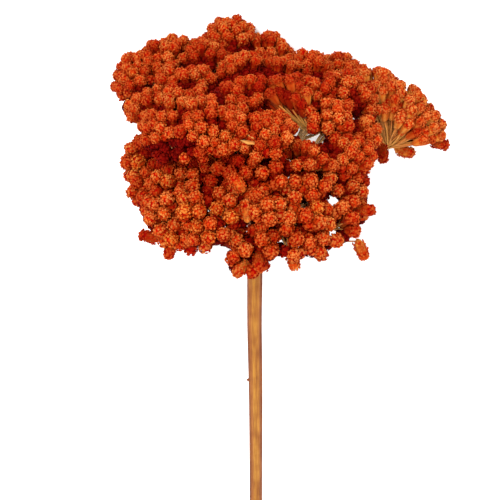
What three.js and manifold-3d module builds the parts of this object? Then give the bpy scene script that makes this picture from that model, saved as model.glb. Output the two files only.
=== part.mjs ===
// Dried yarrow, cut and laid down: one ribbed stem that forks into a head of small round florets.
// Millimetres, +Z up. The flower is laid out in its own frame, with the fork of the stem at the
// origin, +X to the right, +Y across the head and +Z out of its open side, and is then laid on z = 0.

import * as THREE from "three";
import { mergeVertices } from "three/addons/utils/BufferGeometryUtils.js";
import Module from "manifold-3d";

const wasm = await Module();
wasm.setup();

// How it lies: the head rests on its far rim and the stem on its cut end.
const LYING_TILT = THREE.MathUtils.degToRad(18.5);
const FORK_HEIGHT = 31.5;

// Stem
const STEM_DIAMETER = 4.4;
const STEM_RIBS = 8;
const RIB_DEPTH = 0.4;
const STEM_STEPS = 14;
const STEM_PATH = [
  [0, 3, 3],
  [0, -5, -2],
  [-0.3, -22, -10],
  [0, -60, -32],
  [0.3, -130, -75.5],
];
const SCAR_PLACE = [-2, -51.5, -27];
const SCAR_SIZE = 1.1;

// Stalks that carry the head
const LIMB_DIAMETER = 2.6;
const LIMB_SIDES = 5;
const LIMB_STEPS = 1;
const BRANCHLET_DIAMETER = 1.5;
const BRANCHLET_SIDES = 3;
const BRANCHLET_STEPS = 2;
const BRANCHLET_BEND = 0.6;
const PEDICEL_DIAMETER = 1;
const PEDICELS = 2;
const PEDICEL_REACH = 0.6;
const LIMB_REACH = 0.55;
const FIRST_BRANCHLET = 0.5;
const FAN_DEPTH = 4;
const SEAT_GAP = 0.5;

// Florets: each stands for about three real ones, so they are larger than life. The profile is in
// shares of the diameter, from the shoulder up.
const FLORET_DIAMETER = 5.4;
const FLORET_SPACING = 5.4;
const FLORET_SIDES = 5;
const FLORET_FOOT = 0.33;
const FLORET_CROWN = 0.32;
const FLORET_CROWN_HEIGHT = 0.28;
const FLORET_TOP = 0.36;
const TRIES = 40;
const SEED = 4.1;
const GOLDEN_ANGLE = Math.PI * (3 - Math.sqrt(5));

// A spray is domed, in shares of its spread, and its florets stand on a flat core
const DOME_RADIUS = 1.15;
const DOME_RISE = 0.35;
const CORE_DEPTH = 0.42;
const CORE_THICKNESS = 1.4;
const CORE_SIDES = 6;
const CORE_MARGIN = 0;

// Touching pieces keep this much air
const CLEARANCE = 0.3;

// The sprays face away from a point behind the fork, on the axis of the head
const HEAD_AXIS = new THREE.Vector3(0, 1, 1).normalize();
const FOCUS = HEAD_AXIS.clone().multiplyScalar(-45);

// Each limb's sprays: x, y, z of the centre and the spread. A turn tips them up, away from +Z.
const LIMBS = {
  crown: {
    turn: 5,
    sprays: [
      [-8.3, 56.4, -6.4, 8.1],
      [2.6, 51.8, -8.2, 8.4],
      [-3, 43.5, 13, 8.4],
      [6, 41.5, 14, 8.4],
    ],
  },
  upper_left: {
    sprays: [
      [-22, 39, 18, 10],
      [-34.6, 44.2, 5.5, 9.4],
      [-27, 49.2, 2, 8.8],
      [-17.3, 48, 3, 9],
    ],
  },
  left: {
    sprays: [
      [-16, 25.5, 41, 8.6],
      [-24.4, 26, 36, 8],
      [-21.5, 32, 28, 9.2],
      [-31, 33.4, 19, 7.4],
    ],
  },
  centre: {
    turn: 8,
    sprays: [
      [2.5, 22.5, 39.5, 9.2],
      [-7, 24.5, 40, 8],
      [-8.5, 33, 30, 8.6],
      [-2.5, 37, 25, 7.2],
    ],
  },
  centre_fan: {
    turn: 38,
    sprays: [
      [6.5, 36, 27, 8.2],
    ],
  },
  upper_right: {
    sprays: [
      [16, 37, 20, 8.8],
      [16, 44.6, 0, 8.8],
      [26.5, 45.4, -10, 8.8],
      [27.5, 36.5, 16, 8.8],
    ],
  },
  right: {
    sprays: [
      [22.5, 27.5, 30, 6.8],
      [30.5, 25, 24, 5.8],
      [26.6, 17.8, 32, 7.6],
      [15.5, 16, 36, 7.8],
    ],
  },
  right_end: {
    turn: 28,
    sprays: [
      [38, 39.2, 0, 9],
      [44.5, 35, 4, 9],
      [49.8, 29.6, 2, 8.4],
    ],
  },
  front_left: {
    sprays: [
      [-4.5, 13, 36, 8.4],
      [-14, 11, 31, 9],
      [-23.5, 11, 26, 8.6],
      [-32.4, 17.8, 17, 7.2],
      [-31, 10.4, 20, 7],
      [-7, 2.5, 38, 8.4],
      [-16, 2.5, 38, 9],
      [-24, 2.5, 32, 8.4],
      [-13.5, -3, 39, 7],
      [-22.6, -3.4, 33, 7.2],
      [-3, -10.6, 37, 6.6],
    ],
  },
  front_right: {
    sprays: [
      [5.5, 11, 37, 8.4],
      [15.5, 8, 36, 8.6],
      [24, 9, 28, 8.6],
      [2.5, 1, 42, 8.2],
      [12.5, -0.5, 41, 8.4],
      [23, 1, 33, 8],
      [10.2, -8, 40, 7.2],
      [19, -4.4, 35, 6.8],
      [1, -7.6, 39, 5.6],
    ],
  },
};

const stalkMaterial = new THREE.MeshStandardMaterial({ color: 0xb9792f, roughness: 0.7, metalness: 0 });
const floretMaterial = new THREE.MeshStandardMaterial({ color: 0xb03c13, roughness: 0.9, metalness: 0 });

// A repeatable draw from 0 to 1
function draw(spray, count) {
  const wave = Math.sin(spray * 12.9898 + count * 78.233 + SEED) * 43758.5453;
  return wave - Math.floor(wave);
}

function solidOf(geometry) {
  const plain = geometry.clone();
  plain.deleteAttribute("normal");
  plain.deleteAttribute("uv");
  const merged = mergeVertices(plain, 1e-4);
  return new wasm.Manifold(
    new wasm.Mesh({
      numProp: 3,
      vertProperties: merged.attributes.position.array,
      triVerts: new Uint32Array(merged.index.array),
    }),
  );
}

function geometryOf(solid) {
  const mesh = solid.getMesh();
  const geometry = new THREE.BufferGeometry();
  geometry.setAttribute("position", new THREE.BufferAttribute(mesh.vertProperties, 3));
  geometry.setIndex(new THREE.BufferAttribute(mesh.triVerts, 1));
  return geometry;
}

// What holds together: loose scraps and sealed hollows are dropped
function largestBody(solid) {
  return solid.decompose().reduce((best, body) => (body.volume() > best.volume() ? body : best));
}

function joined(solids) {
  return solids.reduce((whole, solid) => whole.add(solid));
}

// The part above the surface that the flower lies on
function aboveSurface(solid) {
  const up = surfaceNormal();
  return solid.trimByPlane([up.x, up.y, up.z], -FORK_HEIGHT);
}

function surfaceNormal() {
  return new THREE.Vector3(0, -Math.sin(LYING_TILT), Math.cos(LYING_TILT));
}

function polygon(radii) {
  const corners = radii.map((radius, i) => {
    const angle = (i * 2 * Math.PI) / radii.length;
    return new THREE.Vector2(radius * Math.cos(angle), radius * Math.sin(angle));
  });
  return new THREE.Shape(corners);
}

function rodAlong(points, section, steps) {
  const path = new THREE.CatmullRomCurve3(points);
  return solidOf(new THREE.ExtrudeGeometry(section, { steps, extrudePath: path }));
}

// Sprays, with the frame of each: its centre, and a turn that takes +Z to the way it faces
function laySprays() {
  const sprays = [];
  for (const [limb, { turn = 0, sprays: rows }] of Object.entries(LIMBS)) {
    const tip = new THREE.Quaternion().setFromAxisAngle(
      new THREE.Vector3(1, 0, 0),
      -THREE.MathUtils.degToRad(turn),
    );
    rows.forEach(([x, y, z, spread], i) => {
      const centre = new THREE.Vector3(x, y, z);
      const facing = centre.clone().sub(FOCUS).normalize().applyQuaternion(tip);
      const place = new THREE.Object3D();
      place.position.copy(centre);
      place.quaternion.setFromUnitVectors(new THREE.Vector3(0, 0, 1), facing);
      place.updateMatrix();
      const name = "florets_" + limb + "_" + (i + 1);
      sprays.push({ name, limb, index: sprays.length, centre, facing, spread, place });
    });
  }
  return sprays;
}

// Height of the dome that the floret centres lie on, at a distance from the spray's axis
function domeHeight(spread, distance) {
  const radius = DOME_RADIUS * spread;
  return DOME_RISE * spread - radius + Math.sqrt(radius * radius - distance * distance);
}

// Floret centres: a sunflower spiral of tries over each spray. A try is kept if it lies nearest to
// its own spray and clear of all those before it.
function placeFlorets(sprays) {
  const taken = [];
  for (const spray of sprays) {
    const { spread, place, index } = spray;
    const tries = Math.round(TRIES * (spread / FLORET_SPACING) ** 2);
    const start = 2 * Math.PI * draw(index, tries);
    spray.florets = [];
    for (let k = 0; k < tries; k++) {
      const distance = spread * Math.sqrt((k + 0.5) / tries);
      const angle = start + k * GOLDEN_ANGLE;
      const local = new THREE.Vector3(
        distance * Math.cos(angle),
        distance * Math.sin(angle),
        domeHeight(spread, distance) + draw(index, k) - 0.5,
      );
      const centre = local.clone().applyMatrix4(place.matrix);
      const reach = spray.centre.distanceTo(centre);
      if (sprays.some((other) => other.centre.distanceTo(centre) < reach)) continue;
      if (taken.some((other) => other.distanceTo(centre) < FLORET_SPACING)) continue;
      taken.push(centre);
      spray.florets.push(local);
    }
    layCore(spray);
  }
}

// The core lies under the middle of the florets, as wide as they stand
function layCore(spray) {
  const { florets, spread } = spray;
  const middle = new THREE.Vector3();
  florets.forEach((centre) => middle.addScaledVector(centre, 1 / florets.length));
  middle.z = -CORE_DEPTH * spread;
  const reaches = florets.map(({ x, y }) => Math.hypot(x - middle.x, y - middle.y));
  spray.core = { middle, radius: Math.max(...reaches) + CORE_MARGIN };
}

// One spray as a solid, grown on all sides by a margin
function spraySolid({ core, florets, place }, margin) {
  const top = core.middle.z + CORE_THICKNESS / 2;
  const plate = turned(core.middle, CORE_SIDES, [
    [0, top - CORE_THICKNESS - margin],
    [core.radius + margin, top - CORE_THICKNESS - margin],
    [core.radius + margin, top],
    [0, top],
  ]);
  const spray = joined([plate, ...florets.map((centre) => floret(centre, top, margin))]);
  return solidOf(geometryOf(spray).applyMatrix4(place.matrix));
}

// A floret stands on the core, and its shoulder is at its centre
function floret(centre, foot, margin) {
  return turned(centre, FLORET_SIDES, [
    [0, foot],
    [FLORET_FOOT * FLORET_DIAMETER + margin, foot],
    [FLORET_DIAMETER / 2 + margin, centre.z],
    [FLORET_CROWN * FLORET_DIAMETER + margin, centre.z + FLORET_CROWN_HEIGHT * FLORET_DIAMETER + margin],
    [0, centre.z + FLORET_TOP * FLORET_DIAMETER + margin],
  ]);
}

// A turned solid on an upright axis through a point, from its radii and heights
function turned({ x, y }, sides, profile) {
  const outline = profile.map(([radius, height]) => new THREE.Vector2(radius, height));
  return solidOf(new THREE.LatheGeometry(outline, sides).rotateX(Math.PI / 2).translate(x, y, 0));
}

function near(a, b) {
  return a.centre.distanceTo(b.centre) < a.spread + b.spread + FLORET_DIAMETER;
}

function makeStalk(sprays, grown) {
  const fork = new THREE.Vector3(0, 0, 0);
  const stemSection = polygon(
    Array.from({ length: 2 * STEM_RIBS }, (_, i) => STEM_DIAMETER / 2 - (i % 2 ? RIB_DEPTH : 0)),
  );
  const limbSection = polygon(Array(LIMB_SIDES).fill(LIMB_DIAMETER / 2));
  const branchletSection = polygon(Array(BRANCHLET_SIDES).fill(BRANCHLET_DIAMETER / 2));
  const stemPoints = STEM_PATH.map((point) => new THREE.Vector3(...point));
  const scar = new THREE.IcosahedronGeometry(SCAR_SIZE, 0).translate(...SCAR_PLACE);
  const pieces = [rodAlong(stemPoints, stemSection, STEM_STEPS), solidOf(scar)];
  for (const limb of Object.keys(LIMBS)) {
    const carried = sprays.filter((spray) => spray.limb === limb);
    const end = new THREE.Vector3();
    carried.forEach((spray) => end.addScaledVector(spray.centre, LIMB_REACH / carried.length));
    pieces.push(rodAlong([fork, end], limbSection, LIMB_STEPS));
    carried.forEach(({ facing, core, place, index }, i) => {
      const share = THREE.MathUtils.lerp(FIRST_BRANCHLET, 1, (i + 0.5) / carried.length);
      const start = end.clone().multiplyScalar(share);
      const seat = core.middle.clone();
      seat.z -= CORE_THICKNESS / 2 + SEAT_GAP;
      const middle = seat.clone().applyMatrix4(place.matrix);
      const hub = middle.clone().addScaledVector(facing, -FAN_DEPTH);
      const bend = start.clone().lerp(hub, BRANCHLET_BEND);
      pieces.push(rodAlong([start, bend, hub, middle], branchletSection, BRANCHLET_STEPS));
      for (let k = 0; k < PEDICELS; k++) {
        const angle = 2 * Math.PI * (k / PEDICELS + draw(index, k));
        const reach = PEDICEL_REACH * core.radius;
        const tip = seat.clone();
        tip.x += reach * Math.cos(angle);
        tip.y += reach * Math.sin(angle);
        pieces.push(pedicel(hub, tip.applyMatrix4(place.matrix)));
      }
    });
  }
  return largestBody(grown.reduce((stalk, spray) => stalk.subtract(spray), joined(pieces)));
}

function pedicel(from, to) {
  const along = to.clone().sub(from);
  const rod = new THREE.CylinderGeometry(PEDICEL_DIAMETER / 2, PEDICEL_DIAMETER / 2, along.length(), 3);
  const place = new THREE.Object3D();
  place.quaternion.setFromUnitVectors(new THREE.Vector3(0, 1, 0), along.clone().normalize());
  place.position.copy(from).addScaledVector(along, 0.5);
  place.updateMatrix();
  return solidOf(rod.applyMatrix4(place.matrix));
}

const flower = new THREE.Group();
flower.rotation.set(-LYING_TILT, 0, Math.PI, "ZYX");

const sprays = laySprays();
placeFlorets(sprays);
const grown = sprays.map((spray) => spraySolid(spray, CLEARANCE));

sprays.forEach((spray, i) => {
  const earlier = grown.slice(0, i).filter((_, k) => near(sprays[k], spray));
  const cleared = earlier.reduce((solid, other) => solid.subtract(other), spraySolid(spray, 0));
  const geometry = geometryOf(largestBody(aboveSurface(cleared)));
  const mesh = new THREE.Mesh(geometry.applyMatrix4(spray.place.matrix.clone().invert()), floretMaterial);
  mesh.name = spray.name;
  mesh.position.copy(spray.place.position);
  mesh.quaternion.copy(spray.place.quaternion);
  flower.add(mesh);
});

const stem = new THREE.Mesh(geometryOf(aboveSurface(makeStalk(sprays, grown))), stalkMaterial);
stem.name = "stem";
flower.add(stem);

// The origin is the middle of the bounding box's underside
const yarrow = new THREE.Group();
yarrow.add(flower);
const bounds = new THREE.Box3().setFromObject(yarrow, true);
const middle = bounds.getCenter(new THREE.Vector3());
flower.position.set(-middle.x, -middle.y, -bounds.min.z);

export default yarrow;
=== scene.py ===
import math
import random
from types import SimpleNamespace

import bmesh
import bpy
from mathutils import Matrix, Quaternion, Vector


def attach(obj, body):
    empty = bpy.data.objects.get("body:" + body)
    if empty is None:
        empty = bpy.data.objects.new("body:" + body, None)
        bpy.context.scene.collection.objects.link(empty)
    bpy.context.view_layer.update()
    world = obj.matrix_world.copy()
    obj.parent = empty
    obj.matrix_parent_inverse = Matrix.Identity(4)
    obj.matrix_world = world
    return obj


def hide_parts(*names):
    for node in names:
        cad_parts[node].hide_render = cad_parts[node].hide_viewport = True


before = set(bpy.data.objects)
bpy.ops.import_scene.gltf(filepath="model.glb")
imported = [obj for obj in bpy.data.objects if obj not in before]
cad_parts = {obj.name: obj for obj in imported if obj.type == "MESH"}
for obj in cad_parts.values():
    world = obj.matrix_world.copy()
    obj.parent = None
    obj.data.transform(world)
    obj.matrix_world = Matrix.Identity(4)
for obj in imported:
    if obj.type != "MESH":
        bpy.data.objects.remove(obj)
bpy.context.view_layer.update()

# The flower is laid out in millimetres in its own frame, with the fork of the stem at the origin,
# +X to the right, +Y across the head and +Z out of its open side, and is then laid on z = 0.
MM = 0.001
LYING_TILT = math.radians(18.5)
FORK = Vector((0.0060711, -0.0458639, 0.0315))
LYING = (
    Matrix.Translation(FORK)
    @ Matrix.Rotation(math.pi, 4, "Z")
    @ Matrix.Rotation(-LYING_TILT, 4, "X")
    @ Matrix.Scale(MM, 4)
)
UP = Vector((0, 0, 1))
GOLDEN_ANGLE = math.pi * (3 - math.sqrt(5))

# The head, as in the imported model
SEED = 4.1
SPRAY_STEP = 12.9898
COUNT_STEP = 78.233
DRAW_SCALE = 43758.5453
FOCUS = -45 * Vector((0, 1, 1)).normalized()
DOME_RADIUS = 1.15
DOME_RISE = 0.35
CORE_DEPTH = 0.42
LIMB_REACH = 0.55
FIRST_BRANCHLET = 0.5
WHOLE_FRONT = 2

# Each limb: how far its sprays tip up, how loosely their buttons stand, how deep below the core their
# stalks fan out, and the sprays as x, y, z of the centre and the spread. A limb that is seen from the
# side has the hub that all its stalks come from, the share of the spread filled to the front, and the
# power that its tones are raised to, less than 1 for paler ones.
LIMBS = {
    "crown": dict(turn=5, looseness=0.86, fan=5.2, sprays=[
        (-8.3, 56.4, -6.4, 8.1),
        (2.6, 51.8, -8.2, 8.4),
        (-3, 43.5, 13, 8.4),
        (6, 41.5, 14, 8.4),
    ]),
    "upper_left": dict(turn=0, looseness=0.86, fan=5.2, sprays=[
        (-22, 39, 18, 10),
        (-34.6, 44.2, 5.5, 9.4),
        (-27, 49.2, 2, 8.8),
        (-17.3, 48, 3, 9),
    ]),
    "left": dict(turn=0, looseness=0.88, fan=5.2, sprays=[
        (-16, 25.5, 41, 8.6),
        (-24.4, 26, 36, 8),
        (-21.5, 32, 28, 9.2),
        (-31, 33.4, 19, 7.4),
    ]),
    "centre": dict(turn=8, looseness=0.88, fan=5.2, sprays=[
        (2.5, 22.5, 39.5, 9.2),
        (-7, 24.5, 40, 8),
        (-8.5, 33, 30, 8.6),
        (-2.5, 37, 25, 7.2),
    ]),
    "centre_fan": dict(turn=38, looseness=0.86, hub=(15, 23.8, 22), front=0.2, paler=1, sprays=[
        (6.5, 36, 27, 8.2),
    ]),
    "upper_right": dict(turn=0, looseness=0.87, fan=5.2, sprays=[
        (16, 37, 20, 8.8),
        (16, 44.6, 0, 9.3),
        (26.5, 45.4, -10, 8.8),
        (27.5, 36.5, 16, 8.8),
    ]),
    "right": dict(turn=0, looseness=0.9, fan=5.2, sprays=[
        (22.5, 27.5, 30, 6.8),
        (30.5, 25, 24, 5.8),
        (26.6, 17.8, 32, 7.6),
        (15.5, 16, 36, 7.8),
    ]),
    "right_end": dict(turn=28, looseness=0.88, hub=(39.6, 20.4, 0), front=1.1, paler=0.75, sprays=[
        (38, 39.2, 0, 9.3),
        (44.5, 35, 4, 9.3),
        (49.8, 29.6, 2, 8.7),
    ]),
    "front_left": dict(turn=0, looseness=1.12, fan=5.2, sprays=[
        (-4.5, 13, 36, 8.4),
        (-14, 11, 31, 9),
        (-23.5, 11, 26, 8.6),
        (-32.4, 17.8, 17, 7.2),
        (-31, 10.4, 20, 7),
        (-7, 2.5, 38, 8.4),
        (-16, 2.5, 38, 9),
        (-24, 2.5, 32, 8.4),
        (-13.5, -3, 39, 7),
        (-22.6, -3.4, 33, 7.2),
        (-3, -10.6, 37, 6.6),
    ]),
    "front_right": dict(turn=0, looseness=1.14, fan=5.2, sprays=[
        (5.5, 11, 37, 8.4),
        (15.5, 8, 36, 8.6),
        (24, 9, 28, 8.6),
        (2.5, 1, 42, 8.2),
        (12.5, -0.5, 41, 8.4),
        (23, 1, 33, 8),
        (10.2, -8, 40, 7.2),
        (19, -4.4, 35, 6.8),
        (1, -7.6, 39, 5.6),
    ]),
}

# Single buttons that show the side of their cups, most of them out of the head, on longer stalks than
# the others: where each stands, and where the foot of its cup points to
STRAYS = [
    ((56.2, 21.2, 0), (46, 24, -1)),
    ((46.2, 18.9, -3), (40, 20.4, -2)),
    ((37.3, 16.8, 10), (37, 22, 8)),
    ((32, 0.8, 28), (26, 1, 26)),
    ((30.2, -11.6, 28), (27, -3.4, 27)),
    ((10.4, -14.4, 37), (9, -8, 32)),
    ((-31.6, -6.4, 27), (-24, -8.6, 26)),
    ((-24.5, -11.4, 31), (-22, -5, 28)),
    ((0.9, -14.9, 37), (0.3, -10, 34)),
    ((-5, -16.4, 36), (-2, -13, 33)),
    ((-6.2, 9, 43), (-1.2, 2.7, 41)),
    ((-2.9, 1.6, 41), (-2.3, -5, 40)),
]

# Gaps that show the stalks and the surface below, seen along Z, as x, y and the radius that no
# button's centre stands in
CLEARINGS = [
    (18, 21, 3),
    (13.5, 22.1, 2.6),
    (17.6, 28.6, 2.3),
    (9.8, 15.4, 2.6),
    (8.8, 10.2, 2.4),
    (17.7, 9.6, 2.7),
    (13.3, 2.1, 2.8),
    (21.6, 2.6, 2.5),
    (23, -2.6, 2.6),
    (22.6, -5, 2.4),
    (7.7, -7.4, 2.7),
    (-2.6, -5.6, 1.8),
    (-15.2, 7.4, 2.4),
    (-9.4, -10.5, 2.9),
    (5.6, -13.8, 2.6),
    (15.6, -14.6, 3.2),
    (21.4, -12, 3),
    (30, -3.8, 2.3),
    (26.2, -9.6, 2),
    (-36.6, 2.6, 2.2),
    (-34.8, -0.4, 2.4),
    (57.4, 26.4, 2.2),
    (-36.6, 25.5, 2),
    (51.5, 19.9, 2.8),
]

# Valleys between the clumps of buttons, seen along Z, as x, y of both ends and the distance on either
# side in which only inner buttons stand
VALLEYS = [
    (-22.6, 42.6, -17, 44.3, 2.5),
    (-34.1, 36.2, -30.6, 37.3, 2.2),
    (-21.7, 36.3, -17.7, 36.3, 2),
    (-14, 44.9, -12.5, 42.2, 2.2),
    (-10.2, 38.5, -7.2, 38.4, 2.2),
    (-11.9, 34.5, -10, 32.6, 2.6),
    (-3.8, 40.8, 7.8, 40.7, 3),
    (-7, 50.6, 6, 51, 1.9),
    (-3.5, 35, -1.8, 33, 2.2),
    (-32, 30.4, -26.8, 28.9, 2),
    (-25.1, 28.4, -20.7, 28.8, 1.8),
    (-16.9, 28, -14.7, 28.5, 1.9),
    (-11.2, 25.3, -9.2, 23.1, 2.2),
    (-24.6, 24.5, -21.5, 24.2, 1.9),
    (-34, 17.4, -18, 17.6, 2.7),
    (18.6, 42.8, 18.9, 38.6, 2.4),
    (12.3, 41.3, 16.6, 39.5, 1.8),
    (31.8, 38.8, 35.3, 41, 1.9),
    (27.2, 34.1, 29.5, 34.1, 2),
    (28.6, 31.8, 28.4, 23.7, 2.4),
    (44.2, 37, 45.1, 35.8, 1.8),
    (18.2, 17.3, 22, 17, 2.2),
    (11.5, 14.8, 16.5, 15.1, 1.8),
    (-15.1, 4.7, -14, 3.9, 1.9),
    (-10.6, -3.6, -7.9, -3.6, 1.8),
    (-2.9, -6.6, -1.2, -8.3, 2.2),
    (6.7, -9.4, 8.7, -10.5, 2),
]

# Patches of painted shade on the buttons, seen along Z, as x, y, the radius and the share of their tone
# that is lost
SHADE_PATCHES = [
    (-4, 38, 10, 0.4),
    (8, 34, 7, 0.5),
    (12.5, 31, 3.5, 0.5),
    (5, 24, 6, 0.3),
    (19, 40, 9, 0.3),
    (-29, 18, 2.5, 0.9),
    (-24, 18.2, 2.5, 0.9),
    (-19, 18.4, 2.5, 0.9),
]

# A button is one small round flower head: a cup of bracts, filled with dry florets. Outer buttons
# cover the dome of a spray. Inner and deep ones stand in the gaps below it. Each layer reaches to its
# own share of the spread, and further where it joins another spray.
BUTTON_REACH = 0.99
INNER_REACH = 0.95
DEEP_REACH = 0.7
JOIN_REACH = 1.2
INNER_DEPTH = 3.1
FAN_DEPTH = 4.4
DEEP_DEPTH = 6
BUTTON_SPACING = 3.55
INNER_SPACING = 3
FAN_SPACING = 2.9
DEEP_SPACING = 3
TIGHT_SPACING = 0.87
BUTTON_TRIES = 60
BUTTON_LIFT = 1.2

# Buttons stand in clumps, each of which is a low dome of its own
CLUMP_RADIUS = 4.1
CLUMP_REACH = 0.9
CLUMP_START = 7
CLUMP_DIP = 1.2
LOOSE_CLUMP_DIP = 0.8

# How a button stands on its stalk, how large it is, and which draws of its spray these take
BUTTON_RADIUS = 2.05
FLOOR_MARGIN = 1.08
BUTTON_LEAN = 0.7
LEAN_RANGE = 1.2
BUTTON_SIZE = 0.4
BUTTON_GROWTH = 0.165
LEAST_SIZE = 0.92
SIZE_RANGE = 0.16
STRAY_SIZE = 0.98
LEAN_X_DRAW = 500
LEAN_Y_DRAW = 700
SPIN_DRAW = 800
SIZE_DRAW = 900

# The tone of a button, with painted shade: it is darker the deeper it lies in a hollow between others
HOLLOW_WIDTH = 4.5
HOLLOW_LIMIT = 8
HOLLOW_FULL = 6
HOLLOW_DEPTH = 6
LEAST_LIGHT = 0.4
INNER_SHADE = 1.3
VALLEY_LIGHT = 0.25
LEAST_TONE = 0.3
TIGHT_SHADE = 0.9
STRAY_TONE = 0.7

# The cup, as radius, height and growth, from its foot up its side and over the floor of the button
CUP_PROFILE = [
    (0.27, -4.1, 0.16),
    (0.95, -3.6, 0.22),
    (1.35, -2.4, 0.32),
    (1.55, -0.9, 0.42),
    (1.6, 0, 0.46),
    (1.3, 0.95, 0.46),
    (0.7, 1.45, 0.46),
    (0, 1.62, 0.46),
]
CUP_SIDES = 10
PLAIN_CUP_SIDES = 6
CUP_RIB = 0.88
CUP_FLECKS = (1, 0.3)
CUP_SEAT = 0.15
FAN_CUP = (1.08, 1.08, 1.16)
FAN_CUP_PALER = 0.28
FAN_GROOVE = 0.55

# Forms of button: how many templates there are, how many florets each has, how wide these are, by how
# much painted shade darkens the lowest ones, and how far they go down the cup
TEMPLATE_SEED = 1
BUTTONS = {
    "button": dict(kinds=32, florets=78, width=1, shade=0.55, drop=0),
    "inner_button": dict(kinds=12, florets=26, width=1.5, shade=0.55, drop=0),
    "deep_button": dict(kinds=6, florets=14, width=2.1, shade=0.55, drop=0),
    "fan_button": dict(kinds=8, florets=78, width=1.1, shade=0.1, drop=0),
    "stray_button": dict(kinds=4, florets=100, width=1.1, shade=0.3, drop=3),
}

# A floret, in shares of its length, and the growth at its foot and its rim. Each kind ends in a tip at
# a height and a growth of its own. The dark red of the foot is partly painted crease shade.
FLORET_SIDES = 4
FLORET_RIM = 0.42
FLORET_DEPTH = 0.32
FLORET_SEAT = 1.75
FLORET_SPAN = math.radians(118)
FOOT_GROWTH = 0.5
RIM_GROWTH = 0.82
FLORET_TIPS = {
    "peaked_floret": (0.36, 1.0),
    "blunt_floret": (0.18, 0.94),
    "open_floret": (0.02, 0.6),
}
FLORET_WANDER = 0.25
FLORET_TILT = 0.2
FLORET_WIDTHS = (0.85, 1.15)
FLORET_HEIGHTS = (0.9, 1.12)
FLORET_FLECKS = (0.75, 1)
WELD = 0.001

# The stem, from above the fork down to its cut end, with the scar of a leaf
STEM_PATH = [
    (-0.2, 4, 4),
    (-0.3, -5, -2),
    (-0.3, -20, -9.5),
    (-0.35, -34, -17),
    (0, -54, -28.5),
    (0.15, -78, -42.6),
    (0.3, -130, -75.5),
]
STEM_RADII = [2.2, 2.35, 2.4, 2.35, 2.3, 2.2, 2.1, 2.1]
STEM_SIDES = 48
STEM_RIBS = 9
STEM_RIB_DEPTH = 0.1
STEM_STEPS = 12
STEM_GROWTHS = [0.5, 0.0]
CUT_RIM = 0.35
CUT_DEPTH = 0.25
SCAR_PLACE = (-2.1, -51.5, -26.6)
SCAR_SIDES = 7
SCAR_RADII = (0.9, 0.25)
SCAR_LENGTH = 1.6
SCAR_TILT = math.radians(-75)

# The limbs, from the fork up
LIMB_START = (-0.8, -3, -1)
LIMB_SHARES = (0.3, 0.65)
LIMB_BOW = 0.06
LIMB_RADII = [1.7, 1.3, 1.05, 0.8]
LIMB_SIDES = 14
LIMB_RIBS = 5
LIMB_RIB_DEPTH = 0.14
LIMB_GROWTHS = [0.5, 0.7]

# Papery slivers, each as half its width and its line
BRACTS = [
    (0.65, [(-1, 14, 26), (-0.2, 18.1, 43), (-2.4, 18.9, 44), (-4.5, 19.6, 43.6)]),
    (0.4, [(-1, 14, 26), (-0.6, 19.4, 42.6), (-1.8, 20.5, 44), (-3, 21.6, 43.6)]),
]
BRACT_RADII = [0.3, 0.55, 1.0, 0.1]
BRACT_SIDES = 10
BRACT_RIBS = 3
BRACT_RIB_DEPTH = 0.2

# The branchlets, each of a few strands side by side, and the thin stalks of the buttons
STRANDS = 4
STRAND_SIDES = 6
STRAND_STEPS = 4
STRAND_TURN = 0.3
STRAND_OFFSET = 0.6
STRAND_OFFSETS = (0.8, 1.3)
STRAND_FLARE = 1.3
STRAND_RISE = 0.6
STRAND_RADII = [0.42, 0.3, 0.28, 0.26]
BRANCHLET_BEND = 0.6
BRANCHLET_BOW = 0.08
BRANCHLET_SEED = 2
PEDICEL_SIDES = 5
PEDICEL_CUTS = 2
PEDICEL_RADIUS = 0.27
PEDICEL_TAPER = 0.9
PEDICEL_BOW = 0.4
HUB_SPREAD = 0.5

# Skin
FLORET_GLOSS = 0.03
STALK_GLOSS = 0.35
MOTTLE_DETAIL = 3
FIBRE_STRETCH = (1, 1, 0.03)

# Stage
FLOOR_HALF = 3
FLOOR_SHADE = 0.97
FLOOR_ROUGHNESS = 0.9
CAMERA_PLACE = (-1.8, -10.5, 500)
LENS_LENGTH = 120
SENSOR_WIDTH = 36
LIGHTS_AIM = (5, 20, 15)
SKY_LIGHT = 1.32


def draw(spray, count):
    """A repeatable draw from 0 to 1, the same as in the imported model."""
    wave = math.sin(spray * SPRAY_STEP + count * COUNT_STEP + SEED) * DRAW_SCALE
    return wave - math.floor(wave)


# Layout


def turned_to(direction):
    """The turn that takes +Z to a direction of unit length."""
    return UP.rotation_difference(direction).to_matrix().to_4x4()


def lay_sprays():
    """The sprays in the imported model's order, each with the frame that its buttons stand in."""
    sprays = []
    for limb, form in LIMBS.items():
        tip = Quaternion((1, 0, 0), -math.radians(form["turn"]))
        for i, (x, y, z, spread) in enumerate(form["sprays"]):
            centre = Vector((x, y, z))
            facing = tip @ (centre - FOCUS).normalized()
            spray = SimpleNamespace(
                limb=limb,
                number=i + 1,
                index=len(sprays),
                centre=centre,
                facing=facing,
                place=Matrix.Translation(centre) @ turned_to(facing),
                spread=spread,
                spacing=BUTTON_SPACING * form["looseness"],
                clump_dip=CLUMP_DIP if form["looseness"] < 1 else LOOSE_CLUMP_DIP,
                front=spread * form.get("front", WHOLE_FRONT),
                fan=form.get("fan"),
                hub=form.get("hub"),
                paler=form.get("paler"),
            )
            sprays.append(spray)
    return sprays


def dome_height(spread, distance):
    """The height of a spray's dome at a distance from its axis. Past its spread it is level."""
    radius = DOME_RADIUS * spread
    distance = min(distance, spread)
    return DOME_RISE * spread - radius + math.sqrt(radius * radius - distance * distance)


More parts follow.
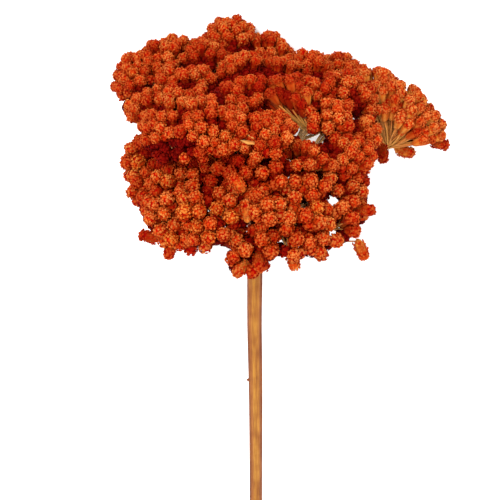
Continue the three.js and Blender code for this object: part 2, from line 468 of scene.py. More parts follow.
def place_buttons(sprays):
    """Button centres: first those of the domes, which keep clear of the strays and their stalks, and
    then the inner and deep ones in the gaps below."""
    taken = [Vector(place) for place, foot in STRAYS]
    taken += [Vector(place).lerp(Vector(foot), 0.5) for place, foot in STRAYS]
    for spray in sprays:
        spray.strays = []
        spray.outer = fill_layer(spray, sprays, taken, 0, spray.spacing, BUTTON_REACH)
    for place, foot in STRAYS:
        place = Vector(place)
        spray = min(sprays, key=lambda other: (other.centre - place).length)
        spray.strays.append((place, Vector(foot)))
    open_ones = list(taken)
    for spray in sprays:
        depth, spacing = (INNER_DEPTH, INNER_SPACING) if spray.fan else (FAN_DEPTH, FAN_SPACING)
        if spray.spacing < BUTTON_SPACING:
            spacing *= TIGHT_SPACING
        spray.inner = fill_layer(spray, sprays, taken, depth, spacing, INNER_REACH)
    for spray in sprays:
        spray.deep = fill_layer(spray, sprays, taken, DEEP_DEPTH, DEEP_SPACING, DEEP_REACH)
        spray.light = button_lights(spray, open_ones)


def button_lights(spray, open_ones):
    """The share of its tone that each outer and inner button of a spray keeps, as painted shade: less
    in hollows and dark patches, and for inner ones in valleys.
    """
    lights = []
    for k, local in enumerate(spray.outer + spray.inner):
        centre = spray.place @ local
        # Painted shade from hollows and dark patches, darker still for inner buttons in valleys
        light = in_light(centre, open_ones) * off_shade_patches(centre)
        if k >= len(spray.outer) and in_valley(centre):
            light *= VALLEY_LIGHT
        lights.append(light)
    return lights


def in_light(centre, others):
    """How openly a button lies: 1 above all those around it, and 0 deep in a hollow between them."""
    outward = (centre - FOCUS).normalized()
    hollow = 0
    for other in others:
        way = other - centre
        rise = way.dot(outward)
        if rise > 0:
            near = math.exp(-((way - rise * outward).length / HOLLOW_WIDTH) ** 2)
            hollow += near * min(rise, HOLLOW_LIMIT) / HOLLOW_FULL
    return max(0, 1 - hollow / HOLLOW_DEPTH)


def off_shade_patches(centre):
    """The share of its tone that a button keeps, by how far it is from the patches of painted shade."""
    kept = 1
    for x, y, radius, loss in SHADE_PATCHES:
        distance = math.hypot(centre.x - x, centre.y - y)
        kept *= 1 - loss * math.exp(-((distance / radius) ** 2))
    return kept


def spiral(count, reach, start):
    """Places spread evenly over a disc, as seeds lie in a sunflower."""
    spots = []
    for k in range(count):
        distance = reach * math.sqrt((k + 0.5) / count)
        angle = start + k * GOLDEN_ANGLE
        spots.append(Vector((distance * math.cos(angle), distance * math.sin(angle), 0)))
    return spots


def off_line(place, x1, y1, x2, y2):
    """The distance of a place from a line between two others, seen along Z."""
    start, way = Vector((x1, y1)), Vector((x2 - x1, y2 - y1))
    offset = place.to_2d() - start
    share = min(1, max(0, offset.dot(way) / way.length_squared))
    return (offset - share * way).length


def in_valley(centre):
    """Whether a place lies in one of the valleys between the clumps."""
    return any(off_line(centre, *ends) < width for *ends, width in VALLEYS)


def joins_another(centre, spray, sprays):
    """Whether a place that lies out of its own spray lies over another one, seen along Z."""
    for other in sprays:
        away = (centre - other.centre).to_2d().length
        if other is not spray and away < other.spread:
            return True
    return False


def fill_layer(spray, sprays, taken, depth, spacing, reach):
    """A sunflower spiral of tries over a spray, at a depth below its dome. A try is kept if it lies
    nearest to its own spray and clear of all those before it."""
    kept = []
    clump_count = round((spray.spread / CLUMP_RADIUS) ** 2)
    clumps = spiral(clump_count, CLUMP_REACH * spray.spread, CLUMP_START * spray.index)
    tries = round(BUTTON_TRIES * (JOIN_REACH * spray.spread / spacing) ** 2)
    start = 2 * math.pi * draw(spray.index, tries)
    for k, local in enumerate(spiral(tries, JOIN_REACH * spray.spread, start)):
        off = min((local - clump).length for clump in clumps)
        outside = local.length > reach * spray.spread
        height = dome_height(spray.spread, local.length) - depth
        height += BUTTON_LIFT * (draw(spray.index, k) - 0.5)
        height -= spray.clump_dip * min(1, (off / CLUMP_RADIUS) ** 2)
        local.z = height
        centre = spray.place @ local
        if centre.z - spray.centre.z > spray.front:
            continue
        if outside and not joins_another(centre, spray, sprays):
            continue
        if any(math.hypot(centre.x - x, centre.y - y) < radius for x, y, radius in CLEARINGS):
            continue
        if depth == 0 and in_valley(centre):
            continue
        own = (centre - spray.centre).length
        if any((centre - other.centre).length < own for other in sprays):
            continue
        if any((centre - other).length < spacing for other in taken):
            continue
        taken.append(centre)
        kept.append(local)
    return kept


def stand_buttons(spray):
    """Where each button stands, the way it faces, and the hub that its stalk comes from."""
    middle = sum(spray.outer, Vector()) / len(spray.outer)
    if spray.hub:
        hub = spray.place.inverted() @ Vector(spray.hub)
    else:
        hub = Vector((middle.x, middle.y, -CORE_DEPTH * spray.spread - spray.fan))
    spray.hub = spray.place @ hub
    spray.stands = []
    for k, local in enumerate(spray.outer + spray.inner + spray.deep):
        axis = local - hub
        axis.x = BUTTON_LEAN * axis.x + LEAN_RANGE * (draw(spray.index, k + LEAN_X_DRAW) - 0.5)
        axis.y = BUTTON_LEAN * axis.y + LEAN_RANGE * (draw(spray.index, k + LEAN_Y_DRAW) - 0.5)
        turn = turned_to(axis.normalized())
        spin = Matrix.Rotation(2 * math.pi * draw(spray.index, k + SPIN_DRAW), 4, "Z")
        size = BUTTON_SIZE + BUTTON_GROWTH * spray.spacing
        size *= LEAST_SIZE + SIZE_RANGE * draw(spray.index, k + SIZE_DRAW)
        stand = spray.place @ Matrix.Translation(local) @ turn @ spin @ Matrix.Scale(size, 4)
        spray.stands.append(lifted_clear(stand))
    for place, foot in spray.strays:
        turn = turned_to((place - foot).normalized())
        stand = Matrix.Translation(place) @ turn @ Matrix.Scale(STRAY_SIZE, 4)
        spray.stands.append(lifted_clear(stand))


def lifted_clear(stand):
    """A button that would dip under the surface is lifted to rest on it."""
    low = (LYING @ stand.translation).z / MM - BUTTON_RADIUS * FLOOR_MARGIN
    if low >= 0:
        return stand
    up = LYING.to_3x3().inverted() @ Vector((0, 0, -low * MM))
    return Matrix.Translation(up) @ stand


# Shapes


def new_shape():
    """A mesh in the making, with what the materials read: growth runs from a foot at 0 to a tip at 1,
    tone differs between buttons and holds painted shade, fleck differs between florets and holds
    painted shade on the lowest ones of each button, and grain runs along a stalk."""
    shape = bmesh.new()
    shape.verts.layers.float.new("growth")
    shape.verts.layers.float.new("tone_and_shade")
    shape.verts.layers.float.new("fleck_and_shade")
    shape.verts.layers.float_vector.new("grain")
    return shape


def shade_smooth(shape):
    for face in shape.faces:
        face.smooth = True


def as_template(shape, name):
    """A mesh that only serves to be copied into the pieces."""
    mesh = bpy.data.meshes.new(name)
    shape.to_mesh(mesh)
    shape.free()
    return mesh


def add_copy(target, template, matrix, layer, value):
    """Adds a template to a shape, with one value of its own in a layer."""
    copy = template.copy()
    copy.transform(matrix)
    copy.attributes[layer].data.foreach_set("value", [value] * len(copy.vertices))
    target.from_mesh(copy)
    bpy.data.meshes.remove(copy)


def floret_template(name, tip, tip_growth):
    """One dry floret: from its foot it flares to an angular rim, and ends in a peak or a pit."""
    shape = new_shape()
    growth = shape.verts.layers.float["growth"]
    bmesh.ops.create_cone(
        shape,
        cap_ends=True,
        segments=FLORET_SIDES,
        radius1=FLORET_RIM,
        radius2=0,
        depth=1,
    )
    bmesh.ops.translate(shape, verts=shape.verts, vec=(0, 0, 0.5))
    bmesh.ops.remove_doubles(shape, verts=shape.verts, dist=WELD)
    base = min(shape.faces, key=lambda face: face.calc_center_median().z)
    foot = bmesh.ops.poke(shape, faces=[base], offset=FLORET_DEPTH)["verts"]
    for vert in shape.verts:
        if vert in foot:
            vert[growth] = FOOT_GROWTH
        elif vert.co.z > 0.5:
            vert.co.z = tip
            vert[growth] = tip_growth
        else:
            vert[growth] = RIM_GROWTH
    bmesh.ops.translate(shape, verts=shape.verts, vec=(0, 0, FLORET_SEAT))
    return as_template(shape, name)


def button_templates(form, cup, florets, chance):
    """The templates of one form of button, which differ in the random draws of their florets."""
    kinds = BUTTONS[form]["kinds"]
    return [button_template(f"{form}_{i}", BUTTONS[form], cup, florets, chance) for i in range(kinds)]


def button_template(name, form, cup, florets, chance):
    """A whole button: its florets stand on a spiral from the top down, the lowest ones darkest in
    painted shade. With a drop they go further down the cup."""
    shape = new_shape()
    shape.from_mesh(cup)
    count = form["florets"]
    start = 2 * math.pi * chance.random()
    for k in range(count):
        lean = math.acos(1 - (1 - math.cos(FLORET_SPAN)) * (k + 0.5) / count)
        angle = start + k * GOLDEN_ANGLE + FLORET_WANDER * chance.uniform(-1, 1)
        place = Matrix.Rotation(angle, 4, "Z") @ Matrix.Rotation(lean, 4, "Y")
        drop = form["drop"] * max(0, 2 * lean / FLORET_SPAN - 1)
        place = Matrix.Translation((0, 0, -drop)) @ place
        tilt = Matrix.Rotation(FLORET_TILT * chance.uniform(-1, 1), 4, "X")
        wide = form["width"] * chance.uniform(*FLORET_WIDTHS)
        size = Matrix.Diagonal((wide, wide, chance.uniform(*FLORET_HEIGHTS), 1))
        spin = Matrix.Rotation(2 * math.pi * chance.random(), 4, "Z")
        # A random fleck, with painted shade on the florets low on the button
        fleck_and_shade = (1 - form["shade"] * (lean / FLORET_SPAN) ** 2) * chance.uniform(*FLORET_FLECKS)
        add_copy(shape, chance.choice(florets), place @ tilt @ spin @ size, "fleck_and_shade", fleck_and_shade)
    return as_template(shape, name)


def cup_template(name, sides):
    """The cup of bracts with the floor of the button in it, turned from its profile."""
    shape = new_shape()
    growth = shape.verts.layers.float["growth"]
    fleck_and_shade = shape.verts.layers.float["fleck_and_shade"]
    line = []
    for radius, height, share in CUP_PROFILE:
        vert = shape.verts.new((radius, 0, height))
        vert[growth] = share
        line.append(vert)
    edges = [shape.edges.new(pair) for pair in zip(line, line[1:])]
    bmesh.ops.spin(
        shape,
        geom=line + edges,
        axis=UP,
        cent=(0, 0, 0),
        angle=2 * math.pi,
        steps=sides,
        use_merge=True,
    )
    bmesh.ops.remove_doubles(shape, verts=shape.verts, dist=WELD)
    bmesh.ops.recalc_face_normals(shape, faces=shape.faces)
    for vert in shape.verts:
        side = round(math.atan2(vert.co.y, vert.co.x) * sides / (2 * math.pi))
        vert[fleck_and_shade] = CUP_FLECKS[side % 2]
        if side % 2 and vert.co.z < 0:
            vert.co.x *= CUP_RIB
            vert.co.y *= CUP_RIB
    shade_smooth(shape)
    return as_template(shape, name)


def widen_for_fan(cup):
    """The cup of a button that is seen from the side: wider, taller and paler, with softer grooves."""
    growths = cup.attributes["growth"].data
    flecks = cup.attributes["fleck_and_shade"].data
    for vert in cup.vertices:
        if vert.co.z < 0:
            vert.co = Vector(a * b for a, b in zip(vert.co, FAN_CUP))
            growths[vert.index].value -= FAN_CUP_PALER
            flecks[vert.index].value = max(FAN_GROOVE, flecks[vert.index].value)


def make_templates():
    """The templates of every form of button."""
    cup = cup_template("cup", CUP_SIDES)
    plain_cup = cup_template("plain_cup", PLAIN_CUP_SIDES)
    florets = [floret_template(name, *tip) for name, tip in FLORET_TIPS.items()]
    chance = random.Random(TEMPLATE_SEED)
    templates = {"button": button_templates("button", cup, florets, chance)}
    for form in ("inner_button", "deep_button"):
        templates[form] = button_templates(form, plain_cup, florets, chance)
    widen_for_fan(cup)
    for form in ("fan_button", "stray_button"):
        templates[form] = button_templates(form, cup, florets, chance)
    return templates


def pedicel_template():
    """A thin stalk of unit length, a little bowed."""
    shape = new_shape()
    growth = shape.verts.layers.float["growth"]
    bmesh.ops.create_cone(
        shape,
        cap_ends=True,
        segments=PEDICEL_SIDES,
        radius1=PEDICEL_RADIUS,
        radius2=PEDICEL_RADIUS * PEDICEL_TAPER,
        depth=1,
    )
    long_edges = [edge for edge in shape.edges if abs(edge.verts[0].co.z - edge.verts[1].co.z) > 0.5]
    bmesh.ops.subdivide_edges(shape, edges=long_edges, cuts=PEDICEL_CUTS, use_grid_fill=True)
    bmesh.ops.translate(shape, verts=shape.verts, vec=(0, 0, 0.5))
    for vert in shape.verts:
        vert[growth] = vert.co.z
        vert.co.x += PEDICEL_BOW * math.sin(math.pi * vert.co.z)
    shade_smooth(shape)
    return as_template(shape, "pedicel_template")


def smooth_path(points, steps):
    """Points close together on a smooth curve through the given ones."""
    points = [Vector(point) for point in points]
    ends = [2 * points[0] - points[1], *points, 2 * points[-1] - points[-2]]
    path = []
    for before, start, end, after in zip(ends, ends[1:], ends[2:], ends[3:]):
        for k in range(steps):
            t = k / steps
            path.append(
                0.5
                * (
                    2 * start
                    + (end - before) * t
                    + (2 * before - 5 * start + 4 * end - after) * t * t
                    + (3 * start - before - 3 * end + after) * t * t * t
                )
            )
    path.append(points[-1])
    return path


def spread_over(values, count):
    """The given values, spread evenly over a number of places."""
    spots = [i * (len(values) - 1) / (count - 1) for i in range(count)]
    lows = [min(int(spot), len(values) - 2) for spot in spots]
    places = zip(spots, lows)
    return [values[low] + (values[low + 1] - values[low]) * (spot - low) for spot, low in places]


def grow_rod(target, points, radii, sides, growths, ribs=0, rib_depth=0.0, steps=6):
    """A stalk along a curve, drawn out ring by ring, with ribs along it. It gives back the face at
    its far end."""
    growth = target.verts.layers.float["growth"]
    grain = target.verts.layers.float_vector["grain"]
    path = smooth_path(points, steps)
    widths = spread_over(radii, len(path))
    shares = spread_over(growths, len(path))
    direction = (path[1] - path[0]).normalized()
    turn = UP.rotation_difference(direction)
    ring = bmesh.ops.create_circle(target, cap_ends=False, segments=sides, radius=1)["verts"]
    if ribs:
        for vert in ring:
            angle = math.atan2(vert.co.y, vert.co.x)
            vert.co *= 1 - rib_depth * (0.5 + 0.5 * math.cos(ribs * angle)) ** 2
    edges = list({edge for vert in ring for edge in vert.link_edges})
    start_edges = edges
    last = Matrix()
    walked = 0.0
    for i, point in enumerate(path):
        ahead = (path[min(i + 1, len(path) - 1)] - path[max(i - 1, 0)]).normalized()
        turn = direction.rotation_difference(ahead) @ turn
        direction = ahead
        place = Matrix.Translation(point) @ turn.to_matrix().to_4x4() @ Matrix.Scale(widths[i], 4)
        if i:
            made = bmesh.ops.extrude_edge_only(target, edges=edges)["geom"]
            ring = [part for part in made if isinstance(part, bmesh.types.BMVert)]
            edges = [part for part in made if isinstance(part, bmesh.types.BMEdge)]
            walked += (point - path[i - 1]).length
        bmesh.ops.transform(target, matrix=place @ last.inverted(), verts=ring)
        last = place
        for vert in ring:
            around = last.inverted() @ vert.co
            vert[growth] = shares[i]
            vert[grain] = Vector((around.x, around.y, walked))
    bmesh.ops.edgeloop_fill(target, edges=start_edges)
    return bmesh.ops.edgeloop_fill(target, edges=edges)["faces"]


def finish_piece(shape, name, material, smooth=False):
    """The shape as a piece of the flower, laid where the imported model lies, with no point of it under
    the surface."""
    bmesh.ops.transform(shape, matrix=LYING, verts=shape.verts)
    for vert in shape.verts:
        vert.co.z = max(vert.co.z, 0)
    if smooth:
        shade_smooth(shape)
    mesh = bpy.data.meshes.new(name)
    shape.to_mesh(mesh)
    shape.free()
    piece = bpy.data.objects.new(name, mesh)
    bpy.context.scene.collection.objects.link(piece)
    mesh.materials.append(material)
    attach(piece, "root")
    return piece


def button_tone(spray, k, layer, tone_and_shade):
    """The tone of a button of a spray, by its layer and by the light that it keeps, with painted shade:
    tight sprays are a little darker and deep buttons darkest.
    """
    # Painted shade over the tighter, upper sprays
    if spray.spacing <= BUTTON_SPACING:
        tone_and_shade *= TIGHT_SHADE
    if layer == "button":
        return tone_and_shade * max(LEAST_LIGHT, spray.light[k])
    if layer == "inner_button":
        return tone_and_shade * spray.light[k] ** INNER_SHADE
    # Deep buttons take the darkest tone, painted shade below the others
    if layer == "deep_button":
        return 0
    return tone_and_shade * STRAY_TONE


def make_spray(spray, templates, material):
    """All the buttons of a spray as one piece. Those of a fan are seen from the side, in tall cups."""
    chance = random.Random(spray.index)
    shape = new_shape()
    layers = ["button"] * len(spray.outer) + ["inner_button"] * len(spray.inner)
    layers += ["deep_button"] * len(spray.deep) + ["stray_button"] * len(spray.strays)
    for k, (stand, layer) in enumerate(zip(spray.stands, layers)):
        # The tone is random, with painted shade laid over it
        tone_and_shade = button_tone(spray, k, layer, chance.uniform(LEAST_TONE, 1))
        if not spray.fan and layer != "stray_button":
            layer = "fan_button"
            tone_and_shade **= spray.paler
        add_copy(shape, chance.choice(templates[layer]), stand, "tone_and_shade", tone_and_shade)
    name = f"buttons_{spray.limb}_{spray.number}"
    piece = finish_piece(shape, name, material)
    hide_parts(f"florets_{spray.limb}_{spray.number}")


def make_pedicels(sprays, template, material):
    """The thin stalks that carry the buttons, fanned out from the hub of each spray."""
    chance = random.Random(len(sprays))
    shape = new_shape()
    cup_foot = CUP_PROFILE[0][1] + CUP_SEAT
    for spray in sprays:
        for stand in spray.stands:
            foot = stand @ Vector((0, 0, cup_foot if spray.fan else cup_foot * FAN_CUP[2]))
            start = spray.hub + HUB_SPREAD * Vector([chance.uniform(-1, 1) for _ in range(3)])
            along = foot - start
            turn = turned_to(along.normalized())
            spin = Matrix.Rotation(2 * math.pi * chance.random(), 4, "Z")
            stretch = Matrix.Diagonal((1, 1, along.length, 1))
            matrix = Matrix.Translation(start) @ turn @ spin @ stretch
            add_copy(shape, template, matrix, "tone_and_shade", chance.random())
    piece = finish_piece(shape, "fine_stalks", material)
    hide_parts("stem")


def limb_line(carried):
    """The curve of a limb, from the fork up to below the middle of the sprays that it carries."""
    end = sum((spray.centre for spray in carried), Vector()) * (LIMB_REACH / len(carried))
    bow = Vector((0, 0, LIMB_BOW * end.length))
    return [Vector(LIMB_START), *[share * end - bow for share in LIMB_SHARES], end]


def make_branchlets(sprays, material):
    """Thin stalks side by side, from the limbs up to the hub of each spray."""
    chance = random.Random(BRANCHLET_SEED)
    shape = new_shape()
    low_share = LIMB_SHARES[0]
    for limb in LIMBS:
        carried = [spray for spray in sprays if spray.limb == limb]
        line = limb_line(carried)
        for i, spray in enumerate(carried):
            share = FIRST_BRANCHLET + (1 - FIRST_BRANCHLET) * (i + 0.5) / len(carried)
            start = line[1].lerp(line[3], (share - low_share) / (1 - low_share))
            along = spray.hub - start
            bend = start + BRANCHLET_BEND * along - BRANCHLET_BOW * along.length * spray.facing
            first = along.orthogonal().normalized()
            for k in range(STRANDS):
                turn = Quaternion(along, 2 * math.pi * (k + STRAND_TURN * chance.random()) / STRANDS)
                side = STRAND_OFFSET * chance.uniform(*STRAND_OFFSETS) * (turn @ first)
                end = spray.hub + STRAND_RISE * spray.facing + STRAND_FLARE * side
                path = [start, bend + side, end]
                grow_rod(shape, path, STRAND_RADII, STRAND_SIDES, [0.0, 1.0], steps=STRAND_STEPS)
    bmesh.ops.recalc_face_normals(shape, faces=shape.faces)
    piece = finish_piece(shape, "branchlets", material, smooth=True)
    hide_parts("stem")


def make_stalk(sprays, material):
    """The stem, with a leaf scar and a hollowed cut end, and the limbs that it forks into."""
    shape = new_shape()
    cut = grow_rod(
        shape,
        STEM_PATH,
        STEM_RADII,
        STEM_SIDES,
        STEM_GROWTHS,
        ribs=STEM_RIBS,
        rib_depth=STEM_RIB_DEPTH,
        steps=STEM_STEPS,
    )
    bmesh.ops.inset_region(shape, faces=cut, thickness=CUT_RIM, depth=-CUT_DEPTH)
    for limb in LIMBS:
        line = limb_line([spray for spray in sprays if spray.limb == limb])
        grow_rod(
            shape,
            line,
            LIMB_RADII,
            LIMB_SIDES,
            LIMB_GROWTHS,
            ribs=LIMB_RIBS,
            rib_depth=LIMB_RIB_DEPTH,
        )
    bmesh.ops.create_cone(
        shape,
        cap_ends=True,
        segments=SCAR_SIDES,
        radius1=SCAR_RADII[0],
        radius2=SCAR_RADII[1],
        depth=SCAR_LENGTH,
        matrix=Matrix.Translation(SCAR_PLACE) @ Matrix.Rotation(SCAR_TILT, 4, "Y"),
    )
    bmesh.ops.recalc_face_normals(shape, faces=shape.faces)
    piece = finish_piece(shape, "stalk", material, smooth=True)
    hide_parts("stem")


def make_bracts(material):
    """Pale papery slivers that stand out between the buttons, on stalks of their own."""
    shape = new_shape()
    for width, path in BRACTS:
        radii = [width * share for share in BRACT_RADII]
        grow_rod(
            shape,
            path,
            radii,
            BRACT_SIDES,
            [0, 1],
            ribs=BRACT_RIBS,
            rib_depth=BRACT_RIB_DEPTH,
        )
    bmesh.ops.recalc_face_normals(shape, faces=shape.faces)
    finish_piece(shape, "bracts", material, smooth=True)


# Materials


def linear(red, green, blue):
    """A colour for a shader from its three values out of 255."""
    values = [value / 255 for value in (red, green, blue)]
    return (*[v / 12.92 if v <= 0.04045 else ((v + 0.055) / 1.055) ** 2.4 for v in values], 1)


def new_material(name):
    """A material, with its node tree and its shader."""
    material = bpy.data.materials.new(name)
    material.use_nodes = True
    return material, material.node_tree, material.node_tree.nodes["Principled BSDF"]


def add_ramp(tree, fac, stops):
    """A colour that runs through the stops, each a place from 0 to 1 and its colour."""
    node = tree.nodes.new("ShaderNodeValToRGB")
    elements = node.color_ramp.elements
    elements[0].position, elements[0].color = stops[0]
    elements[1].position, elements[1].color = stops[-1]
    for position, colour in stops[1:-1]:
        elements.new(position).color = colour
    tree.links.new(fac, node.inputs["Fac"])
    return node.outputs["Color"]


def read_attribute(tree, name, output="Fac"):
    node = tree.nodes.new("ShaderNodeAttribute")
    node.attribute_name = name
    return node.outputs[output]


def multiply(tree, colour, *tints):
    """A colour with tints laid over it one by one."""
    for tint in tints:
        node = tree.nodes.new("ShaderNodeMix")
        node.data_type = "RGBA"
        node.blend_type = "MULTIPLY"
        node.inputs["Factor"].default_value = 1
        first, second = [socket for socket in node.inputs if socket.type == "RGBA"]
        tree.links.new(colour, first)
        tree.links.new(tint, second)
        colour = [socket for socket in node.outputs if socket.type == "RGBA"][0]
    return colour


def add_bump(tree, shader, height, strength, distance):
    node = tree.nodes.new("ShaderNodeBump")
    node.inputs["Strength"].default_value = strength
    node.inputs["Distance"].default_value = distance
    tree.links.new(height, node.inputs["Height"])
    tree.links.new(node.outputs["Normal"], shader.inputs["Normal"])


def mottle_group():
    """Dry, uneven plant skin: a coarse and a fine mask, and a roughness that follows the fine one."""
    group = bpy.data.node_groups.new("dry_mottle", "ShaderNodeTree")
    group.interface.new_socket("Vector", in_out="INPUT", socket_type="NodeSocketVector")
    for name in ("Coarse Scale", "Fine Scale"):
        group.interface.new_socket(name, in_out="INPUT", socket_type="NodeSocketFloat")
    for name in ("Coarse", "Fine", "Roughness"):
        group.interface.new_socket(name, in_out="OUTPUT", socket_type="NodeSocketFloat")
    inside = group.nodes.new("NodeGroupInput")
    outside = group.nodes.new("NodeGroupOutput")
    for name in ("Coarse", "Fine"):
        noise = group.nodes.new("ShaderNodeTexNoise")
        noise.inputs["Detail"].default_value = MOTTLE_DETAIL
        group.links.new(inside.outputs["Vector"], noise.inputs["Vector"])
        group.links.new(inside.outputs[name + " Scale"], noise.inputs["Scale"])
        group.links.new(noise.outputs["Fac"], outside.inputs[name])
    roughness = group.nodes.new("ShaderNodeMapRange")
    for name, value in (("From Min", 0.3), ("From Max", 0.7), ("To Min", 0.7), ("To Max", 0.95)):
        roughness.inputs[name].default_value = value
    group.links.new(noise.outputs["Fac"], roughness.inputs["Value"])
    group.links.new(roughness.outputs["Result"], outside.inputs["Roughness"])
    return group


def add_mottle(tree, group, vector, coarse, fine):
    """The outputs of the mottle, at two scales."""
    node = tree.nodes.new("ShaderNodeGroup")
    node.node_tree = group
    node.inputs["Coarse Scale"].default_value = coarse
    node.inputs["Fine Scale"].default_value = fine
    tree.links.new(vector, node.inputs["Vector"])
    return node.outputs


def object_place(tree):
    return tree.nodes.new("ShaderNodeTexCoord").outputs["Object"]


def floret_material(group):
    """Rust orange florets, dark at the foot and bright at the tip, on tan cups: the dark feet are
    partly painted crease shade and the bright tips partly painted highlight.
    """
    material, tree, shader = new_material("rust_florets")
    # Partly their own colour: the dark red of the button floor and floret feet is partly painted crease
    # shade, the pale tips partly painted highlight
    base = add_ramp(
        tree,
        read_attribute(tree, "growth"),
        [
            (0.0, linear(214, 158, 84)),
            (0.2, linear(198, 124, 50)),
            (0.36, linear(184, 84, 28)),
            (0.46, linear(174, 8, 0)),
            (0.52, linear(182, 18, 0)),
            (0.8, linear(184, 78, 22)),
            (1.0, linear(204, 152, 94)),
        ],
    )
    # Each button's random tone and painted shade: low values are dark red
    tone_and_shade = add_ramp(
        tree,
        read_attribute(tree, "tone_and_shade"),
        [
            (0.0, linear(136, 16, 5)),
            (0.15, linear(206, 94, 52)),
            (0.35, linear(244, 194, 152)),
            (0.75, linear(255, 247, 222)),
            (1.0, linear(255, 255, 190)),
        ],
    )
    # Fleck: random, with painted shade that turns the lowest florets darker and redder
    fleck_and_shade = add_ramp(
        tree,
        read_attribute(tree, "fleck_and_shade"),
        [(0.25, linear(196, 50, 10)), (0.6, linear(238, 192, 155)), (1.0, linear(255, 255, 255))],
    )
    mottle = add_mottle(tree, group, object_place(tree), coarse=260, fine=5200)
    patch = add_ramp(
        tree,
        mottle["Coarse"],
        [(0.38, linear(225, 205, 195)), (0.62, linear(255, 255, 255))],
    )
    tree.links.new(multiply(tree, base, tone_and_shade, fleck_and_shade, patch), shader.inputs["Base Color"])
    tree.links.new(mottle["Roughness"], shader.inputs["Roughness"])
    shader.inputs["Specular IOR Level"].default_value = FLORET_GLOSS
    add_bump(tree, shader, mottle["Fine"], strength=0.5, distance=0.00008)
    return material


def stalk_material(group, name, stops, bump, painted_sheen=False):
    """Dry ochre stalk with streaks of fibre along it."""
    material, tree, shader = new_material(name)
    base = add_ramp(tree, read_attribute(tree, "growth"), stops)
    stretch = tree.nodes.new("ShaderNodeMapping")
    stretch.inputs["Scale"].default_value = FIBRE_STRETCH
    tree.links.new(read_attribute(tree, "grain", "Vector"), stretch.inputs["Vector"])
    fibre = add_mottle(tree, group, stretch.outputs["Vector"], coarse=1.6, fine=5)
    streak = add_ramp(
        tree,
        fibre["Coarse"],
        [(0.3, linear(190, 160, 140)), (0.5, linear(235, 230, 225)), (0.7, linear(255, 255, 255))],
    )
    thread = add_ramp(
        tree,
        fibre["Fine"],
        [(0.3, linear(215, 195, 180)), (0.6, linear(255, 255, 255))],
    )
    mottle = add_mottle(tree, group, object_place(tree), coarse=180, fine=3000)
    patch = add_ramp(
        tree,
        mottle["Coarse"],
        [(0.36, linear(228, 212, 200)), (0.6, linear(255, 255, 255))],
    )
    tone_and_shade = add_ramp(
        tree,
        read_attribute(tree, "tone_and_shade"),
        [(0.0, linear(255, 255, 255)), (0.5, linear(235, 205, 165)), (1.0, linear(255, 250, 215))],
    )
    tints = [streak, thread, patch, tone_and_shade]
    # The stem takes a painted sheen along its upper side and painted shade on its flanks
    if painted_sheen:
        tints.insert(1, painted_sheen_tint(tree))
    tree.links.new(multiply(tree, base, *tints), shader.inputs["Base Color"])
    tree.links.new(mottle["Roughness"], shader.inputs["Roughness"])
    shader.inputs["Specular IOR Level"].default_value = STALK_GLOSS
    add_bump(tree, shader, fibre["Fine"], strength=bump, distance=0.0002)
    return material


def painted_sheen_tint(tree):
    """Painted sheen: golden along the upper side of the stem, and browner in painted shade down its
    flanks.
    """
    sides = tree.nodes.new("ShaderNodeSeparateXYZ")
    tree.links.new(read_attribute(tree, "grain", "Vector"), sides.inputs["Vector"])
    return add_ramp(
        tree,
        sides.outputs["Y"],
        [(0.45, linear(210, 178, 182)), (0.8, linear(236, 220, 200)), (0.95, linear(255, 255, 190))],
    )


def stem_material(group):
    stops = [
        (0.0, linear(176, 123, 64)),
        (0.5, linear(184, 125, 56)),
        (1.0, linear(184, 120, 56)),
    ]
    return stalk_material(group, "ochre_stalk", stops, bump=0.5, painted_sheen=True)


def pedicel_material(group):
    stops = [
        (0.0, linear(244, 196, 116)),
        (0.7, linear(240, 176, 92)),
        (1.0, linear(220, 136, 58)),
    ]
    return stalk_material(group, "pale_fine_stalk", stops, bump=0.3)


def branchlet_material(group):
    stops = [
        (0.0, linear(255, 226, 168)),
        (0.6, linear(255, 222, 160)),
        (1.0, linear(250, 204, 136)),
    ]
    return stalk_material(group, "cream_branchlet", stops, bump=0.3)


def bract_material(group):
    stops = [
        (0.0, linear(200, 130, 56)),
        (0.6, linear(222, 156, 70)),
        (1.0, linear(236, 190, 104)),
    ]
    return stalk_material(group, "papery_bract", stops, bump=0.3)


def floor_material():
    material, _, shader = new_material("pale_floor")
    shader.inputs["Base Color"].default_value = (FLOOR_SHADE, FLOOR_SHADE, FLOOR_SHADE, 1)
    shader.inputs["Roughness"].default_value = FLOOR_ROUGHNESS
    return material


# Stage


def make_floor():
    shape = bmesh.new()
    bmesh.ops.create_grid(shape, x_segments=1, y_segments=1, size=FLOOR_HALF)
    mesh = bpy.data.meshes.new("floor")
    shape.to_mesh(mesh)
    shape.free()
    floor = bpy.data.objects.new("floor", mesh)
    mesh.materials.append(floor_material())
    bpy.context.scene.collection.objects.link(floor)


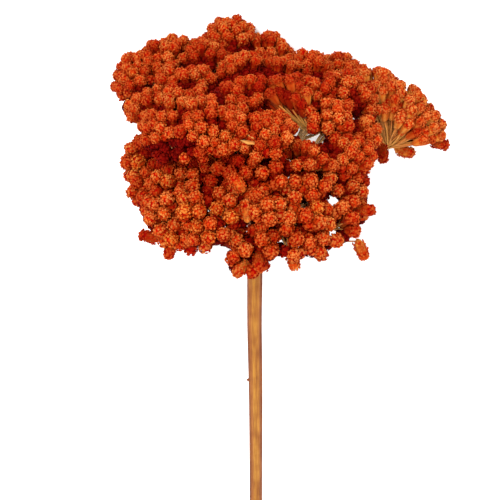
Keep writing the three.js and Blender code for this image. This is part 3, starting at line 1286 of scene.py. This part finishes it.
def add_light(name, direction, distance, size, energy):
    """A soft square light that shines on the head from a direction in the flower's frame."""
    lamp = bpy.data.lights.new(name, "AREA")
    lamp.shape = "SQUARE"
    lamp.size = size
    lamp.energy = energy
    light = bpy.data.objects.new(name, lamp)
    bpy.context.scene.collection.objects.link(light)
    way = (LYING.to_3x3() @ Vector(direction)).normalized()
    head = LYING @ Vector(LIGHTS_AIM)
    place = way.to_track_quat("Z", "Y").to_matrix().to_4x4()
    light.matrix_world = Matrix.Translation(head + distance * way) @ place


def make_lights():
    add_light("key", direction=(-0.25, 0.15, 0.95), distance=1, size=0.3, energy=8)
    add_light("fill", direction=(0.4, -0.4, 0.8), distance=1.2, size=1, energy=4)
    world = bpy.data.worlds.new("studio")
    world.use_nodes = True
    background = world.node_tree.nodes["Background"]
    background.inputs["Color"].default_value = (1, 1, 1, 1)
    background.inputs["Strength"].default_value = SKY_LIGHT
    bpy.context.scene.world = world
    bpy.context.scene.view_settings.view_transform = "Standard"


def make_camera():
    """Looks down on the flower from 0.5 m, straight at the open side of the head."""
    lens = bpy.data.cameras.new("camera")
    lens.lens = LENS_LENGTH
    lens.sensor_width = SENSOR_WIDTH
    camera = bpy.data.objects.new("camera", lens)
    bpy.context.scene.collection.objects.link(camera)
    turn = Matrix.Rotation(math.pi, 4, "Z") @ Matrix.Rotation(-LYING_TILT, 4, "X")
    camera.matrix_world = Matrix.Translation(LYING @ Vector(CAMERA_PLACE)) @ turn
    bpy.context.scene.camera = camera


def make_flower():
    """All the pieces of the flower. The templates are removed once they are used."""
    group = mottle_group()
    florets = floret_material(group)
    templates = make_templates()
    sprays = lay_sprays()
    place_buttons(sprays)
    for spray in sprays:
        stand_buttons(spray)
        make_spray(spray, templates, florets)
    make_stalk(sprays, stem_material(group))
    make_branchlets(sprays, branchlet_material(group))
    make_pedicels(sprays, pedicel_template(), pedicel_material(group))
    make_bracts(bract_material(group))
    for template in list(bpy.data.meshes):
        if template.users == 0:
            bpy.data.meshes.remove(template)


make_flower()
make_floor()
make_lights()
make_camera()
